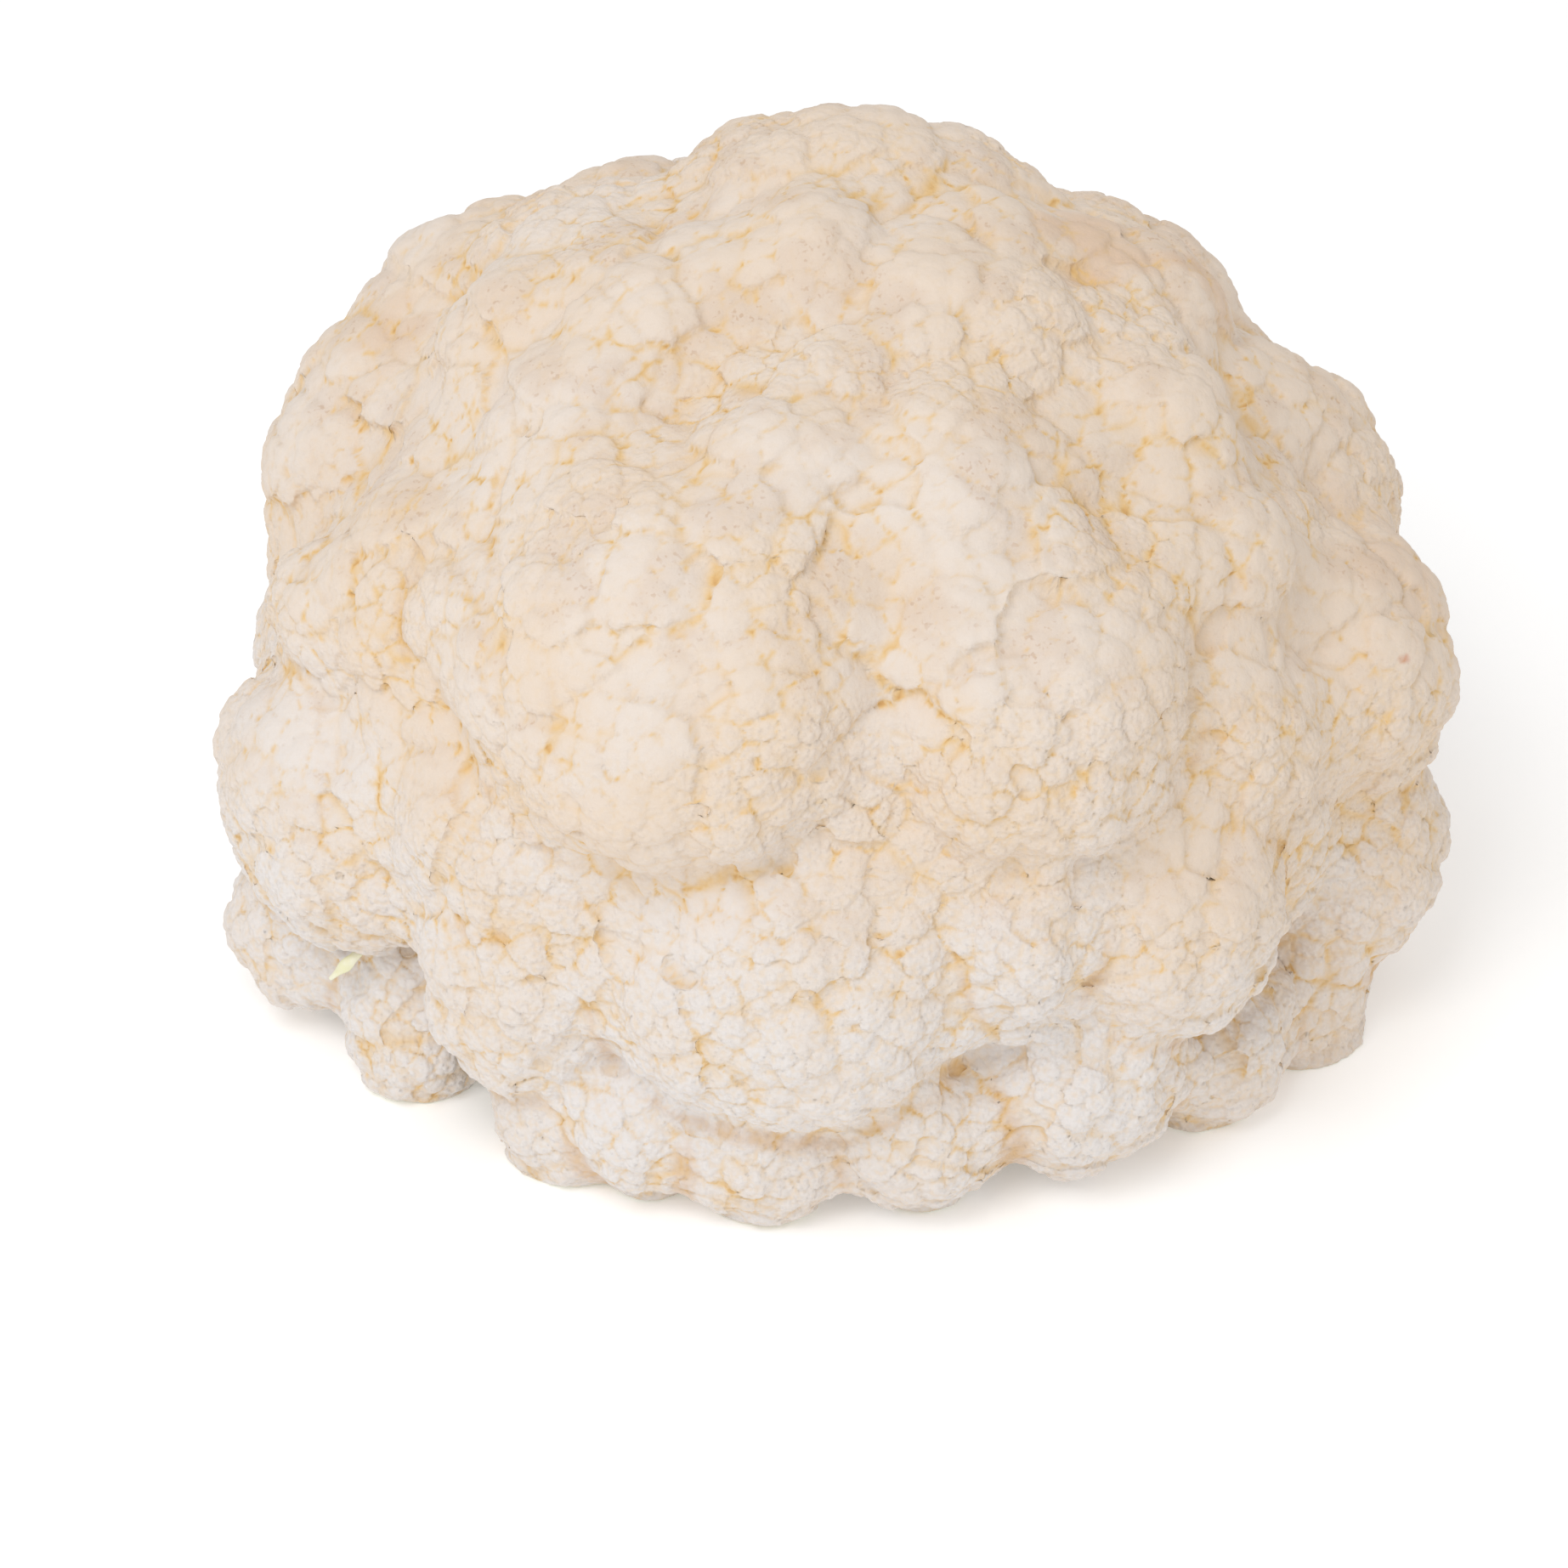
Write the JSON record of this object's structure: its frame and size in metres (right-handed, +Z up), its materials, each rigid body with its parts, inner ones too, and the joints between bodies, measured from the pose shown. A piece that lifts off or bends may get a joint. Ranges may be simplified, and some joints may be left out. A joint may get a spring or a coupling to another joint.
{
  "type": "cauliflower",
  "caption": "Whole trimmed cauliflower head: a dome of joined curd florets on a cut stalk, resting on its level underside, with a small bract in a crevice.",
  "frame": {"origin": "middle of the bounding box on the level cut underside, the plane that the head rests on", "axes": "+Z up through the curd, -Y towards the front with the large overhanging floret, +X to the right of the front"},
  "size_m": [0.1986, 0.1888, 0.1385],
  "materials": {
    "curd": "matt creamy white curd, ochre in the crevices",
    "leaf": "satin pale yellow-green leaf"
  },
  "bodies": {
    "root": {"cauliflower_head": "curd", "bract_leaf": "leaf"}
  },
  "joints": []
}
